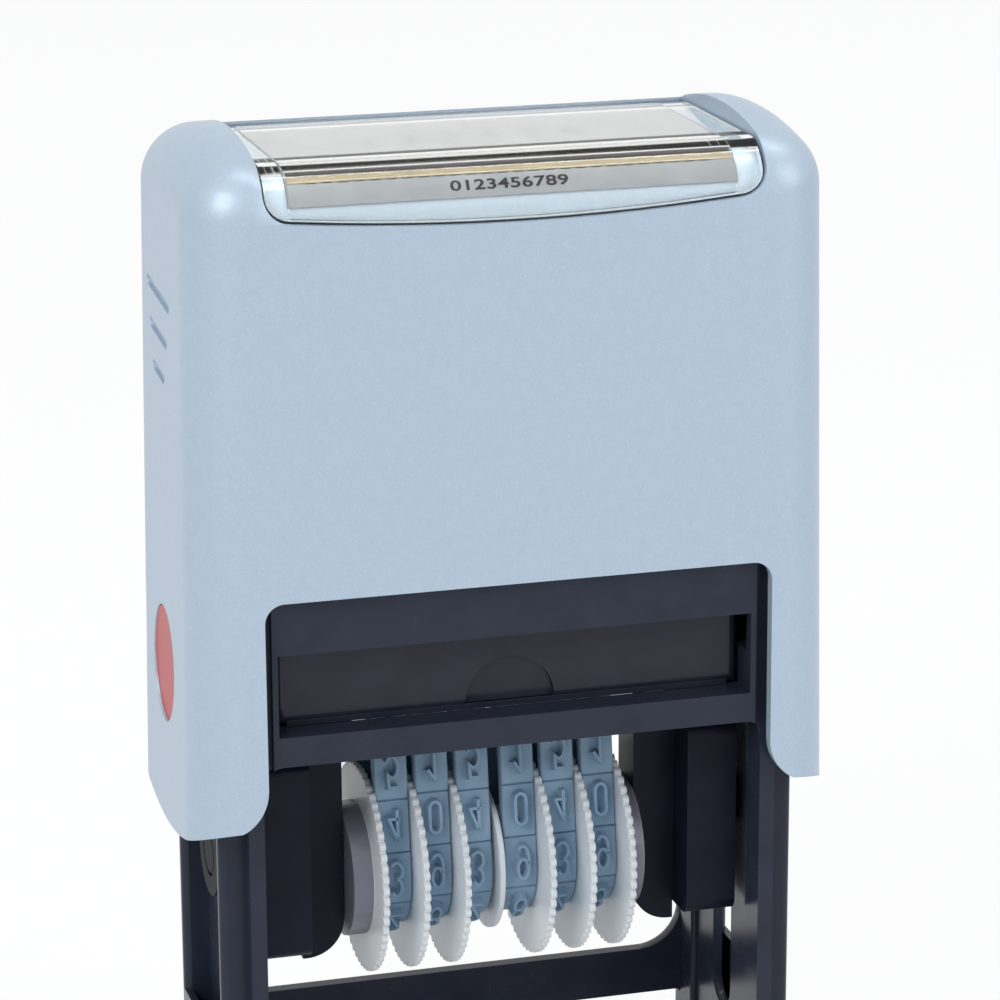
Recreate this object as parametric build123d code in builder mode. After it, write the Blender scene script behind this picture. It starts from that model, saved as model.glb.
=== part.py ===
from build123d import *
from math import radians, tan
import os

os.makedirs("parts", exist_ok=True)

# Self-inking numbering stamp, standing at rest on its base.
# X runs across the stamp, the front faces -Y, and Z rises from the table at the base's centre.

# Clearances
slide_gap = 0.25        # between parts that slide past each other
spin_gap = 0.05         # radial, round a shaft or a hub
side_gap = 0.05         # beside a wheel, between it and the next band
side_play = 0.1         # at each end of the wheel stack

# Type bands and number wheels
digits = 6              # bands side by side
band_width = 3.0
band_thickness = 1.05   # without the raised characters
type_relief = 0.8       # height of a character over its band
type_length = 3.4       # height of a character, measured along its band
type_width = 2.1
type_cells = 12         # characters round one band, one of them centred on the printing face
hub_radius = 4.2        # the part of a wheel that a band runs on
disc_radius = 9.4       # over the beads of the thumb rim
disc_thickness = 0.55
bead_radius = 0.42
bead_count = 58
axle_radius = 1.25
spacer_radius = 6.7     # plain disc between the two middle bands
spacer_thickness = 1.05
spacer_rim = 0.5        # it is thinner outside its hub
end_boss = 1.8          # drum that stands out of the outermost wheels
end_boss_radius = 6.0

# Print bridge, which the bands pass over to lie flat for printing
bridge_depth = 3.8
bridge_corner = 0.25
bridge_height = 5.0

# Carriage, which turns over between the pad and the paper
type_reach = 15.7       # pivot to the printing face
wheel_drop = 2.95       # pivot to the wheel axle
cheek_width = 3.8
cheek_depth = 4.4
cheek_below_axle = 7.37
cheek_corner = 3.4
block_depth = 12.4
block_below_pivot = 8.65
block_above_pivot = 9.55
block_corner = 1.2
pin_radius = 2.2
pin_seat = 2.4          # length of a pivot pin inside its block
pin_chamfer = 0.3
axle_seat = 2.6         # length of the axle inside a cheek
sill_gap = 0.4          # over the cheeks, under the bay's floor

# Stroke
stroke = 18.0           # travel of the cap
print_gap = 0.05        # printing face over the paper, with the cap pressed down

# Base frame
frame_depth = 23.5
wall = 1.2              # front and rear walls
web_thickness = 0.9     # side walls, between the columns
column_step = 0.5       # the columns stand further in than the side walls
column_depth = 4.6
column_round = 0.4
column_setback = 0.8    # columns' front faces behind the front wall
jamb = 0.5              # front wall beside the pad tray
rib_round = 0.7
carriage_gap = 0.5      # beside the carriage
rail_thickness = 1.6    # ribs beside the side channels, in which the yoke's arms run
rail_setback = 2.55     # from the front face back to the rib
skirt_thickness = 0.7   # outer wall of a side channel, near the base
skirt_top = 17.5
base_height = 6.0
base_overhang = 1.3     # base past the ribs and past the walls
base_corner = 4.5
base_bar = 2.35         # width of the base in front of and behind its window
rear_bar_bottom = 10.6
rear_bar_top = 15.1
rear_window_corner = 4.0
front_window_corner = 1.6
sill_thickness = 2.65   # floor of the pad bay and its front edge
swing_front = 8.9       # opening in the bay's floor, in front of the pivot
swing_rear = 4.4        # and behind it
swing_side = 0.6        # beside the print bridge
type_entry = 1.7        # printing face over the bay's floor, inside the pad tray
tray_gap = 0.15         # under and over the pad tray
bay_roof = 1.3
guide_length = 15.9     # frame above the pad bay, which guides the cap
guide_setback = 0.3     # its upper part stands further in
guide_step = 1.9        # from the cap's mouth up to that part

# Ink pad and its tray
tray_width = 41.7
tray_height = 7.0
tray_setback = 2.7      # face of the tray behind the frame's front
tray_round = 0.8
bay_guide = 1.275       # bay's side guides, out to the columns' inner faces
tray_wall = 1.1
tray_top = 1.4
pad_thickness = 2.8
pad_gap = 0.25          # under the pad, over the printing face
grip_radius = 4.0
grip_depth = 0.55

# Cap
cap_wall = 1.1
cap_side_room = 1.5     # inside the cap's leg ends, beside the ribs
cap_face_room = 0.55    # and in front of and behind the frame
cap_side_draft = 0.93   # degrees
cap_face_draft = 0.46
cap_corner = 5.2        # in plan
cap_edge = 4.9          # round the top
cap_arch = 38.6         # radius of the top, from front to back
cap_roof = 1.8          # under the index card
leg_clearance = 4.05    # between the leg ends and the skirt, with the cap pressed down
mouth_width = 44.9      # opening between the legs, front and rear
mouth_header = 5.05     # frame that shows in it, over the pad bay
mouth_corner = 1.7
leg_corner = 4.2
leg_bow = 31.4          # radius of the sides' lower edges, which sag between front and rear
leg_bow_drop = 2.45     # lowest line of the sides, under the leg ends
cavity_round = 6.0      # inside the cap, at the front and rear of its roof

# Index window and card in the cap's top
window_width = 43.4
window_sink = 1.55      # window's flat top, under the highest line of the cap
window_inset = 0.35     # its rounded front, under the cap's surface
window_thickness = 1.0
window_clearance = 0.15
window_front_drop = 6.0  # lower edge at the front, under the top of the cap
window_corner = 2.4
window_bow = 0.9        # how far the lower edge sags at its middle
window_rear = 10.2      # rear edge, behind the centre
window_end = 2.0        # thick clear ends beside the card
card_thickness = 0.3
card_front_lip = 1.1    # window's lower edge, under the card
card_lip = 0.6          # and behind it

# Side marks and grip grooves on the cap
mark_height = 10.4
mark_length = 8.8
mark_depth = 0.5
mark_rise = 11.8        # centre over the leg ends
mark_setback = 0.6      # centre behind the cap's middle
inlay_gap = 0.1
inlay_thickness = 0.35
groove_count = 3
groove_width = 0.9
groove_depth = 0.3
groove_length = 9.5     # the highest one
groove_shorter = 2.3    # each one than the one above it
groove_pitch = 3.4
groove_setback = 1.3    # middle of the grooves, behind the cap's middle
groove_tilt = 5         # degrees, lower at the front
groove_drop = 14.2      # the highest one, under the top of the cap

# Lift yoke and return spring
arm_thickness = 1.1
arm_depth = 8.0
yoke_bar = 3.0
yoke_gap = 0.3          # over the frame's top, with the cap pressed down
spring_radius = 4.4     # to the middle of the wire
spring_wire = 0.9
spring_turns = 8
seat_height = 1.6
seat_gap = 0.2

# Heights, worked out upwards from the paper
pivot_z = type_reach + stroke + print_gap
face_z = pivot_z + type_reach
axle_z = pivot_z - wheel_drop
floor_z = face_z - type_entry
tray_z = floor_z + tray_gap
pad_z = face_z + pad_gap
sill_z = floor_z - sill_thickness
bay_top = tray_z + tray_height + tray_gap
roof_z = bay_top + bay_roof
frame_top = roof_z + guide_length
yoke_bar_z = frame_top + stroke + yoke_gap
cavity_top = yoke_bar_z + yoke_bar
window_depth = window_inset + window_thickness + card_thickness
cap_top = cavity_top + cap_roof + card_thickness + window_thickness + window_sink
leg_z = skirt_top + stroke + leg_clearance
leg_low_z = leg_z - leg_bow_drop
mouth_z = bay_top + mouth_header
step_z = mouth_z + guide_step

# Half widths of the wheel stack, worked out outwards from the middle band
band_pitch = band_width + disc_thickness + 2 * side_gap + side_gap
first_band = spacer_thickness / 2 + side_gap + band_width / 2
last_band = first_band + (digits / 2 - 1) * band_pitch
wheel_out = last_band + band_width / 2 + side_gap + disc_thickness
cheek_in = wheel_out + end_boss + side_play
block_in = cheek_in + cheek_width

# Half widths of the frame, worked out outwards from the pad tray
tray_x = tray_width / 2
bay_x = tray_x + slide_gap
column_in = bay_x + bay_guide
block_out = column_in - carriage_gap
web_in = column_in + column_step
web_out = web_in + web_thickness
arm_in = web_out + slide_gap
arm_out = arm_in + arm_thickness
skirt_in = arm_out + slide_gap
rail_out = skirt_in + skirt_thickness

# Half depths
frame_y = frame_depth / 2
wall_y = frame_y - wall
rail_y = frame_y - rail_setback
guide_y = frame_y - guide_setback
tray_front = frame_y - tray_setback
tray_rear = wall_y - slide_gap
leg_x = rail_out + cap_side_room + cap_wall
leg_y = frame_y + cap_face_room + cap_wall
window_x = window_width / 2


def cap_half_width(z):
    return leg_x - (z - leg_z) * tan(radians(cap_side_draft))


def cap_half_depth(z):
    return leg_y - (z - leg_z) * tan(radians(cap_face_draft))


def mirrored(shape):
    return shape.mirror(Plane.YZ)


def finish(part, name):
    part.label = name
    export_step(part, "parts/" + name + ".step")


# Base frame: one black moulding with a base ring, four columns, side channels, the pad bay
# and a square guide tube over it.
with BuildPart() as frame_body:
    with BuildSketch():
        RectangleRounded(2 * (rail_out + base_overhang), 2 * (frame_y + base_overhang), base_corner)
        Rectangle(2 * column_in, 2 * (frame_y + base_overhang - base_bar), mode=Mode.SUBTRACT)
    extrude(amount=base_height)

    # Columns, ribs and side walls share one section, which stands further in near the top.
    for z, height, half_depth in ((0, step_z, frame_y), (step_z, frame_top - step_z, guide_y)):
        with BuildSketch(Plane.XY.offset(z)):
            for side in (-1, 1):
                with Locations((side * (web_in + web_out) / 2, 0)):
                    Rectangle(web_thickness, 2 * half_depth - 1)
                for end in (-1, 1):
                    column_y = end * (half_depth - column_depth / 2)
                    rib_y = end * (rail_y - rail_thickness / 2)
                    with Locations((side * (column_in + web_out) / 2, column_y)):
                        RectangleRounded(web_out - column_in, column_depth, column_round)
                    with Locations((side * (web_in + rail_out) / 2, rib_y)):
                        RectangleRounded(rail_out - web_in, rail_thickness, rib_round)
        extrude(amount=height)

    # Skirts close the side channels near the base.
    with BuildSketch():
        for side in (-1, 1):
            with Locations((side * (skirt_in + rail_out) / 2, 0)):
                Rectangle(skirt_thickness, 2 * rail_y - rail_thickness)
    extrude(amount=skirt_top)

    # Front wall: an open front below the bay's sill, and the mouth of the bay.
    with BuildSketch(Plane.XZ.offset(wall_y)):
        with Locations((0, step_z / 2)):
            Rectangle(2 * column_in + 1, step_z)
        with Locations((0, (base_height + sill_z) / 2)):
            RectangleRounded(2 * column_in, sill_z - base_height, front_window_corner, mode=Mode.SUBTRACT)
        with Locations((0, (floor_z + bay_top) / 2)):
            Rectangle(2 * bay_x, bay_top - floor_z, mode=Mode.SUBTRACT)
    extrude(amount=wall)

    # Rear wall: a large window over a cross bar, and a low one under it.
    with BuildSketch(Plane.XZ.offset(-frame_y)):
        with Locations((0, step_z / 2)):
            Rectangle(2 * column_in + 1, step_z)
        with Locations((0, (rear_bar_top + sill_z) / 2)):
            RectangleRounded(2 * column_in, sill_z - rear_bar_top, rear_window_corner, mode=Mode.SUBTRACT)
        with Locations((0, (base_height + rear_bar_bottom) / 2)):
            RectangleRounded(2 * column_in, rear_bar_bottom - base_height, column_round, mode=Mode.SUBTRACT)
    extrude(amount=wall)

    # Guide tube's front and rear walls, near the top.
    with BuildSketch(Plane.XY.offset(step_z)):
        for end in (-1, 1):
            with Locations((0, end * (guide_y - wall / 2))):
                Rectangle(2 * column_in + 1, wall)
    extrude(amount=frame_top - step_z)

    # The columns' front faces stand behind the front wall.
    jamb_x = bay_x + jamb
    with BuildSketch(Plane.XZ.offset(frame_y - column_setback)):
        for side in (-1, 1):
            with Locations((side * (jamb_x + web_out + 1) / 2, (base_height + step_z) / 2)):
                Rectangle(web_out + 1 - jamb_x, step_z - base_height)
    extrude(amount=column_setback, mode=Mode.SUBTRACT)

    # Bay floor, which the type reaches through, the bay's side guides and its roof.
    with BuildSketch(Plane.XY.offset(sill_z)):
        Rectangle(2 * web_in + 0.4, 2 * wall_y + 0.4)
        with Locations((0, (swing_rear - swing_front) / 2)):
            Rectangle(2 * (cheek_in + swing_side), swing_rear + swing_front, mode=Mode.SUBTRACT)
    extrude(amount=sill_thickness)
    with BuildSketch(Plane.XY.offset(floor_z)):
        for side in (-1, 1):
            with Locations((side * (bay_x + web_in) / 2, 0)):
                Rectangle(web_in - bay_x, 2 * wall_y)
    extrude(amount=tray_height / 2)
    with BuildSketch(Plane.XY.offset(bay_top)):
        Rectangle(2 * web_in + 0.4, 2 * wall_y + 0.4)
    extrude(amount=bay_roof)
    with BuildSketch(Plane.XY.offset(roof_z)):
        Circle(spring_radius - spring_wire / 2 - seat_gap)
    extrude(amount=seat_height)

    # Slots in the side walls, along which the carriage's pivot pins travel.
    slot_radius = pin_radius + slide_gap
    with BuildSketch(Plane.YZ.offset(-web_out)):
        with Locations((0, pivot_z - stroke / 2)):
            SlotCenterToCenter(stroke, 2 * slot_radius, rotation=90)
    extrude(amount=2 * web_out, mode=Mode.SUBTRACT)
finish(frame_body.part, "base_frame")

# Pad tray: slides out to the front, with a half-round thumb recess in its face. Its rear wall is
# notched, so that it passes over the type.
with BuildPart() as tray:
    with BuildSketch(Plane.XY.offset(tray_z)):
        with Locations((0, (tray_rear - tray_front) / 2)):
            Rectangle(tray_width, tray_rear + tray_front)
    extrude(amount=tray_height)
    fillet(tray.faces().sort_by(Axis.Y)[0].edges(), tray_round)
    pad_width = tray_width - 2 * tray_wall
    pad_depth = tray_rear + tray_front - 2 * tray_wall - grip_depth
    pad_y = (tray_rear - tray_front + grip_depth) / 2
    with BuildSketch(Plane.XY.offset(tray_z)):
        with Locations((0, pad_y)):
            Rectangle(pad_width, pad_depth)
    extrude(amount=pad_z + pad_thickness - tray_z, mode=Mode.SUBTRACT)
    with BuildSketch(Plane.XY.offset(tray_z)):
        with Locations((0, tray_rear)):
            Rectangle(2 * (cheek_in + swing_side), 4 * tray_wall)
    extrude(amount=pad_z - tray_z, mode=Mode.SUBTRACT)
    with BuildSketch(Plane.XY.offset(pad_z + pad_thickness + tray_top)):
        with Locations((0, pad_y)):
            Rectangle(pad_width, pad_depth)
    extrude(amount=tray_height, mode=Mode.SUBTRACT)
    with BuildSketch(Plane.XZ.offset(tray_front - grip_depth)):
        with Locations((0, tray_z + column_round)):
            Circle(grip_radius)
            Rectangle(3 * grip_radius, 2 * grip_radius, align=(Align.CENTER, Align.MAX), mode=Mode.SUBTRACT)
    extrude(amount=grip_depth, mode=Mode.SUBTRACT)
finish(tray.part, "pad_tray")

with BuildPart() as pad:
    with BuildSketch(Plane.XY.offset(pad_z)):
        with Locations((0, pad_y)):
            RectangleRounded(pad_width, pad_depth, column_round)
    extrude(amount=pad_thickness)
finish(pad.part, "ink_pad")

# Side outline of the cap's top, from which the card and window are set in.
with BuildSketch(Plane.YZ) as top_outline:
    shoulder = cap_half_depth(cap_top)
    with Locations((0, cap_top - cap_arch)):
        Circle(cap_arch)
        Rectangle(2 * shoulder, cap_arch, align=(Align.CENTER, Align.MIN), mode=Mode.INTERSECT)
    fillet(top_outline.vertices().group_by(Axis.Z)[-1], cap_edge)


def window_outline(depth):
    """Side outline at a depth: flat on top, and rounded at the front as the cap is."""
    with BuildSketch(Plane.YZ) as outline:
        offset(top_outline.sketch_local, amount=-depth)
        with Locations((0, cap_top - window_sink + window_inset - depth)):
            Rectangle(3 * leg_y, 2 * cap_arch, align=(Align.CENTER, Align.MAX), mode=Mode.INTERSECT)
    return outline.sketch_local


def top_slab(outer, inner, half_width, front_z, rear_y, corner, bow=0):
    """Layer of the cap's top between two depths, bounded at its sides, front edge and rear."""
    with BuildPart() as slab:
        with BuildSketch(Plane.YZ.offset(-half_width)):
            add(window_outline(outer))
            add(window_outline(inner), mode=Mode.SUBTRACT)
        extrude(amount=2 * half_width)
        with BuildSketch(Plane.XZ.offset(-rear_y)):
            with Locations((0, front_z)):
                RectangleRounded(2 * half_width, cap_arch, corner, align=(Align.CENTER, Align.MIN))
            if bow:
                flat = half_width - corner
                with BuildLine():
                    ThreePointArc((-flat, front_z), (0, front_z - bow), (flat, front_z))
                    Line((flat, front_z), (-flat, front_z))
                make_face()
        extrude(amount=rear_y + 2 * leg_y, mode=Mode.INTERSECT)
    return slab.part


# Cap: a thin-walled grey shell with an arched top, open between its legs at front and rear.
with BuildPart() as cavity:
    for z in (leg_low_z - 1, cavity_top):
        with BuildSketch(Plane.XY.offset(z)):
            RectangleRounded(2 * (cap_half_width(z) - cap_wall), 2 * (cap_half_depth(z) - cap_wall),
                             cap_corner - cap_wall)
    loft(ruled=True)
    # The roof of the cavity is rounded well clear of the window's recess.
    with BuildSketch(Plane.YZ.offset(-leg_x)):
        with Locations((0, cavity_top)):
            RectangleRounded(2 * (leg_y - cap_wall), 2 * (cavity_top - leg_low_z), cavity_round,
                             align=(Align.CENTER, Align.MAX))
    extrude(amount=2 * leg_x, mode=Mode.INTERSECT)

with BuildPart() as cap:
    for z in (leg_low_z, cap_top):
        with BuildSketch(Plane.XY.offset(z)):
            RectangleRounded(2 * cap_half_width(z), 2 * cap_half_depth(z), cap_corner)
    loft(ruled=True)
    with BuildSketch(Plane.YZ):
        with Locations((0, cap_top - cap_arch)):
            Circle(cap_arch)
            Rectangle(2 * cap_arch, 2 * cap_arch, align=(Align.CENTER, Align.MAX))
    extrude(amount=2 * leg_x, both=True, mode=Mode.INTERSECT)
    fillet(cap.faces().sort_by(Axis.Z)[-1].edges(), cap_edge)
    add(cavity.part, mode=Mode.SUBTRACT)

    # Mouths between the legs, whose inner corners are rounded at the bottom.
    with BuildSketch(Plane.XZ) as mouth:
        with Locations((0, leg_z)):
            Rectangle(mouth_width, 2 * (mouth_z - leg_z))
        fillet(mouth.vertices().group_by(Axis.Z)[-1], mouth_corner)
        with Locations((0, leg_z)):
            Rectangle(mouth_width + 2 * leg_corner, 2 * leg_corner)
        for side in (-1, 1):
            with Locations((side * (mouth_width / 2 + leg_corner), leg_z + leg_corner)):
                Circle(leg_corner, mode=Mode.SUBTRACT)
    extrude(amount=2 * leg_y, both=True, mode=Mode.SUBTRACT)
    with BuildSketch(Plane.YZ):
        with Locations((0, leg_low_z)):
            Rectangle(3 * leg_y, 4 * leg_bow_drop)
        with Locations((0, leg_low_z + leg_bow)):
            Circle(leg_bow, mode=Mode.SUBTRACT)
    extrude(amount=2 * leg_x, both=True, mode=Mode.SUBTRACT)

    # Recess for the card and window.
    window_front_z = cap_top - window_front_drop
    add(top_slab(-window_depth, window_depth, window_x, window_front_z, window_rear, window_corner,
                 window_bow), mode=Mode.SUBTRACT)

    # An oval recess low on each side, and slanted grip grooves higher up.
    for side in (-1, 1):
        mark_z = leg_z + mark_rise
        with BuildSketch(Plane.YZ.offset(side * (cap_half_width(mark_z) - mark_depth))):
            with Locations((mark_setback, mark_z)):
                Ellipse(mark_length / 2, mark_height / 2)
        extrude(amount=side * 2, mode=Mode.SUBTRACT)
        for step in range(groove_count):
            groove_z = cap_top - groove_drop - step * groove_pitch
            with BuildSketch(Plane.YZ.offset(side * (cap_half_width(groove_z) - groove_depth))):
                with Locations((groove_setback, groove_z)):
                    SlotOverall(groove_length - step * groove_shorter, groove_width, rotation=groove_tilt)
            extrude(amount=side * 2, mode=Mode.SUBTRACT)
finish(cap.part, "cap")

# Oval inlays in the side recesses.
inlay_x = cap_half_width(mark_z) - mark_depth
with BuildPart() as inlay:
    with BuildSketch(Plane.YZ.offset(inlay_x)):
        with Locations((mark_setback, mark_z)):
            Ellipse(mark_length / 2 - inlay_gap, mark_height / 2 - inlay_gap)
    extrude(amount=inlay_thickness)
finish(inlay.part, "side_inlay_right")
finish(mirrored(inlay.part), "side_inlay_left")

# Printed card under the clear window, and the window with its thick ends.
glass_depth = window_inset + window_thickness
glass_x = window_x - window_clearance
card_x = glass_x - window_end
with BuildPart() as card:
    add(top_slab(glass_depth, window_depth, card_x - window_clearance, window_front_z + card_front_lip,
                 window_rear - card_lip, window_clearance))
finish(card.part, "index_card")

with BuildPart() as window:
    add(top_slab(window_inset, window_depth, glass_x, window_front_z + window_clearance,
                 window_rear - window_clearance, window_corner - window_clearance, window_bow))
    add(top_slab(glass_depth, window_depth + 1, card_x,
                 window_front_z + card_front_lip - window_clearance,
                 window_rear - card_lip + window_clearance, window_clearance), mode=Mode.SUBTRACT)
finish(window.part, "index_window")

# Lift yoke: hangs from the cap's roof and carries the carriage on its two arms.
with BuildPart() as yoke:
    with BuildSketch(Plane.XY.offset(yoke_bar_z)):
        Rectangle(2 * arm_out, arm_depth)
    extrude(amount=yoke_bar)
    fillet(yoke.edges().filter_by(Axis.Y).group_by(Axis.Z)[-1], yoke_bar / 2)
    with BuildSketch(Plane.YZ.offset(-arm_out)):
        with Locations((0, (yoke_bar_z + pivot_z) / 2)):
            Rectangle(arm_depth, yoke_bar_z - pivot_z)
        with Locations((0, pivot_z)):
            Circle(arm_depth / 2)
    extrude(amount=2 * arm_out)
    with BuildSketch(Plane.YZ.offset(-arm_in)):
        with Locations((0, yoke_bar_z)):
            Rectangle(2 * arm_depth, 2 * stroke + 2 * yoke_bar_z, align=(Align.CENTER, Align.MAX))
    extrude(amount=2 * arm_in, mode=Mode.SUBTRACT)
    with BuildSketch(Plane.YZ.offset(-arm_out)):
        with Locations((0, pivot_z)):
            Circle(pin_radius + spin_gap)
    extrude(amount=2 * arm_out, mode=Mode.SUBTRACT)
    with BuildSketch(Plane.XY.offset(yoke_bar_z)):
        Circle(spring_radius - spring_wire / 2 - seat_gap)
    extrude(amount=-seat_height)
finish(yoke.part, "lift_yoke")

# Return spring, between the pad bay's roof and the yoke.
spring_foot = roof_z + spring_wire / 2
spring_height = yoke_bar_z - roof_z - spring_wire
coil = Helix(spring_height / spring_turns, spring_height, spring_radius, center=(0, 0, spring_foot))
with BuildPart() as spring:
    with BuildSketch(Plane(coil @ 0, z_dir=coil % 0)):
        Circle(spring_wire / 2)
    sweep(path=coil, is_frenet=True)
finish(spring.part, "return_spring")

# Carriage ends: each is a cheek beside the wheels and a deeper block that holds a pivot pin.
with BuildPart() as end:
    with BuildSketch(Plane.YZ.offset(cheek_in)):
        cheek_foot = axle_z - cheek_below_axle
        with Locations((0, cheek_foot)):
            Rectangle(cheek_depth, sill_z - sill_gap - cheek_foot, align=(Align.CENTER, Align.MIN))
    extrude(amount=cheek_width)
    fillet(end.edges().filter_by(Axis.Y).group_by(Axis.Z)[0].sort_by(Axis.X)[0], cheek_corner)
    with BuildSketch(Plane.YZ.offset(block_in)):
        with Locations((0, pivot_z - block_below_pivot)):
            RectangleRounded(block_depth, block_below_pivot + block_above_pivot, block_corner,
                             align=(Align.CENTER, Align.MIN))
    extrude(amount=block_out - block_in)
    with BuildSketch(Plane.YZ.offset(block_out - pin_seat)):
        with Locations((0, pivot_z)):
            Circle(pin_radius)
    extrude(amount=pin_seat, mode=Mode.SUBTRACT)
    with BuildSketch(Plane.YZ.offset(cheek_in)):
        with Locations((0, axle_z)):
            Circle(axle_radius)
    extrude(amount=axle_seat, mode=Mode.SUBTRACT)
finish(end.part, "carriage_end_right")
finish(mirrored(end.part), "carriage_end_left")

with BuildPart() as pin:
    with BuildSketch(Plane.YZ.offset(block_out - pin_seat)):
        with Locations((0, pivot_z)):
            Circle(pin_radius)
    extrude(amount=arm_out - block_out + pin_seat)
    chamfer(pin.edges().sort_by(Axis.X)[-1], pin_chamfer)
finish(pin.part, "pivot_pin_right")
finish(mirrored(pin.part), "pivot_pin_left")

with BuildPart() as axle:
    with BuildSketch(Plane.YZ.offset(-cheek_in - axle_seat)):
        with Locations((0, axle_z)):
            Circle(axle_radius)
    extrude(amount=2 * (cheek_in + axle_seat))
finish(axle.part, "wheel_axle")

# Band outline: round the wheel's hub, then up to the flat of the print bridge.
bridge_z = face_z - type_relief - band_thickness
rim_y = bridge_depth / 2 - bridge_corner
rim_z = bridge_z - bridge_corner


def band_loop(grow):
    """Closed outline round the hub and the bridge, grown outwards."""
    with BuildSketch(Plane.YZ) as loop:
        with Locations((0, axle_z)):
            Circle(hub_radius + spin_gap + grow)
        with Locations((-rim_y, rim_z), (rim_y, rim_z)):
            Circle(bridge_corner + grow)
        make_hull()
    return loop.sketch_local


with BuildPart() as bridge:
    with BuildSketch(Plane.YZ.offset(-cheek_in)):
        with Locations((0, bridge_z)):
            Rectangle(bridge_depth, bridge_height, align=(Align.CENTER, Align.MAX))
    extrude(amount=2 * cheek_in)
    fillet(bridge.edges().filter_by(Axis.X), bridge_corner)
finish(bridge.part, "print_bridge")

# One type band, at the middle of the stack, with a raised block for each character.
with BuildPart() as band:
    with BuildSketch(Plane.YZ.offset(-band_width / 2)) as band_side:
        add(band_loop(band_thickness))
        add(band_loop(0), mode=Mode.SUBTRACT)
    extrude(amount=band_width)
    path = band_side.sketch.face().outer_wire()
    print_row = path.param_at_point(Vector(-band_width / 2, 0, face_z - type_relief))
    for cell in range(type_cells):
        turn = (print_row + cell / type_cells) % 1
        spot = path @ turn
        along = path % turn
        out = along.cross(Vector(1, 0, 0))
        if out.dot(spot - Vector(0, 0, (axle_z + face_z) / 2)) < 0:
            out = -out
        base = Vector(0, spot.Y, spot.Z) - out * band_thickness / 2
        with BuildSketch(Plane(base, x_dir=(1, 0, 0), z_dir=out)):
            Rectangle(type_width, type_length)
        extrude(amount=band_thickness / 2 + type_relief)

# One number wheel: a thumb disc with a beaded rim, and the hub that drives its band.
with BuildPart() as wheel:
    with BuildSketch(Plane.YZ.offset(band_width / 2 + side_gap)):
        with Locations((0, axle_z)):
            Circle(disc_radius - bead_radius)
            with PolarLocations(disc_radius - bead_radius, bead_count):
                Circle(bead_radius)
    extrude(amount=disc_thickness)
    with BuildSketch(Plane.YZ.offset(-band_width / 2)):
        with Locations((0, axle_z)):
            Circle(hub_radius)
    extrude(amount=band_width + 2 * side_gap)
    with BuildSketch(Plane.YZ.offset(-band_width)):
        with Locations((0, axle_z)):
            Circle(axle_radius + spin_gap)
    extrude(amount=3 * band_width, mode=Mode.SUBTRACT)

# The outermost wheels have a drum that keeps the stack clear of the cheeks.
with BuildPart() as end_wheel:
    add(wheel.part)
    with BuildSketch(Plane.YZ.offset(band_width / 2 + side_gap)):
        with Locations((0, axle_z)):
            Circle(end_boss_radius)
            Circle(axle_radius + spin_gap, mode=Mode.SUBTRACT)
    extrude(amount=disc_thickness + end_boss)

half = digits // 2
for number in range(1, digits + 1):
    side = -1 if number <= half else 1
    order = half - number if side < 0 else number - half - 1
    shift = Location((side * (first_band + order * band_pitch), 0, 0))
    one_wheel = end_wheel.part if order == half - 1 else wheel.part
    if side < 0:
        one_wheel = mirrored(one_wheel)
    finish(shift * one_wheel, "number_wheel_" + str(number))
    finish(shift * band.part, "number_band_" + str(number))

with BuildPart() as spacer:
    for radius, thickness in ((spacer_radius, spacer_rim), (hub_radius, spacer_thickness)):
        with BuildSketch(Plane.YZ.offset(-thickness / 2)):
            with Locations((0, axle_z)):
                Circle(radius)
                Circle(axle_radius, mode=Mode.SUBTRACT)
        extrude(amount=thickness)
finish(spacer.part, "centre_spacer")
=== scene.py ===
import bpy
import bmesh
from math import acos, asin, atan2, cos, hypot, pi, radians, sin, sqrt
from mathutils import Matrix, Vector


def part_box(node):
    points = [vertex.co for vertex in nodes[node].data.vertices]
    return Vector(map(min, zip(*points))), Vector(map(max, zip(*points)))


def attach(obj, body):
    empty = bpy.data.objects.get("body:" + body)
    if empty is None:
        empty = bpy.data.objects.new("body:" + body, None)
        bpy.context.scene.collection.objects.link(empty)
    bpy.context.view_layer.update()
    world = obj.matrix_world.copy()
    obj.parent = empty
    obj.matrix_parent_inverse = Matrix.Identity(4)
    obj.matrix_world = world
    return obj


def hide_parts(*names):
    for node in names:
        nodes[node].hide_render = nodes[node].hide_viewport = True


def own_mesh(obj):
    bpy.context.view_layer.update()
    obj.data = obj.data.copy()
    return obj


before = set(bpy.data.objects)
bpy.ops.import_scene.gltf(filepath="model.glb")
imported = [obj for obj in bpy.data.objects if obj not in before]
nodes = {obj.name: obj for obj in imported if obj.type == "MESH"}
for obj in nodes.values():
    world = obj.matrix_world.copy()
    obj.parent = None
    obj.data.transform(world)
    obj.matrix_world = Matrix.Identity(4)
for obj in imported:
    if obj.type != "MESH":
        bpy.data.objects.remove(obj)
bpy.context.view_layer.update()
mm = 0.001

# Camera: a long lens a third of a metre away, to the left of the stamp's front and above it. It
# looks down by sixteen degrees, and the lower edge of the picture cuts off the stamp's base.
camera_data = bpy.data.cameras.new("camera")
camera_data.sensor_width = 36
camera_data.lens = 139.36
camera_data.clip_start = 0.01
camera = bpy.data.objects.new("camera", camera_data)
camera_place = (-0.08782, -0.31471, 0.15708)
camera_yaw = 0.2773
camera_pitch = 0.2780
camera_roll = -0.0048
camera.matrix_world = (
    Matrix.Translation(camera_place)
    @ Matrix.Rotation(-camera_yaw, 4, "Z")
    @ Matrix.Rotation(pi / 2 - camera_pitch, 4, "X")
    @ Matrix.Rotation(camera_roll, 4, "Z")
)
bpy.context.collection.objects.link(camera)
bpy.context.scene.camera = camera
bpy.context.scene.view_settings.view_transform = "Standard"


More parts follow.
